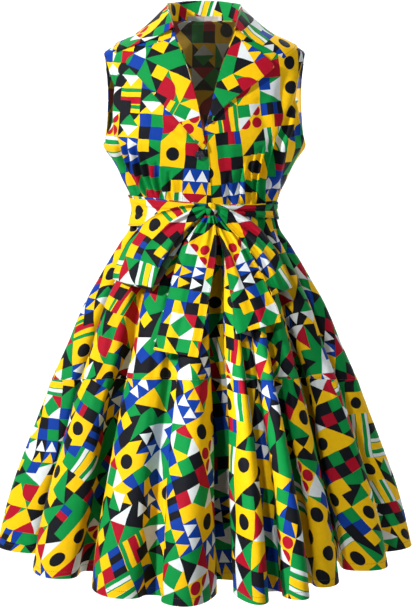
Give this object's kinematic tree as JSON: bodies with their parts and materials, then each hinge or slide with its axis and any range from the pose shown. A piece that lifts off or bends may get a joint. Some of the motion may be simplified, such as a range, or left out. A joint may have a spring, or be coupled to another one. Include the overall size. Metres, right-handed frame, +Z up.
{
  "type": "ankara wax print dress",
  "caption": "Sleeveless shirt-style dress in wax print cotton, with a notched collar and lapels, a tied sash and a flared two-tier skirt, shaped as if worn.",
  "frame": {"origin": "midway between the two high shoulder points, where the wearer's shoulders carry the dress", "axes": "+Z up, +X towards the wearer's left, the front faces -Y"},
  "size_m": [0.786, 0.7648, 1.0405],
  "materials": {
    "print_bodice": "printed cotton, matt with a slight sheen",
    "print_collar": "printed cotton, matt with a slight sheen",
    "print_skirt": "printed cotton, matt with a slight sheen",
    "print_sash": "printed cotton, matt with a slight sheen",
    "button": "glossy navy plastic",
    "label": "plain woven tape"
  },
  "bodies": {
    "root": {"bodice_front_right": "print_bodice", "bodice_front_left": "print_bodice", "bodice_back": "print_bodice", "collar": "print_collar", "lapel_right": "print_collar", "lapel_left": "print_collar", "skirt_upper_front": "print_skirt", "skirt_upper_back": "print_skirt", "skirt_lower_front": "print_skirt", "skirt_lower_back": "print_skirt", "sash": "print_sash", "bow_knot": "print_sash", "bow_loop_right": "print_sash", "bow_loop_left": "print_sash", "bow_tail_right": "print_sash", "bow_tail_left": "print_sash", "button": "button", "label": "label"}
  },
  "joints": []
}
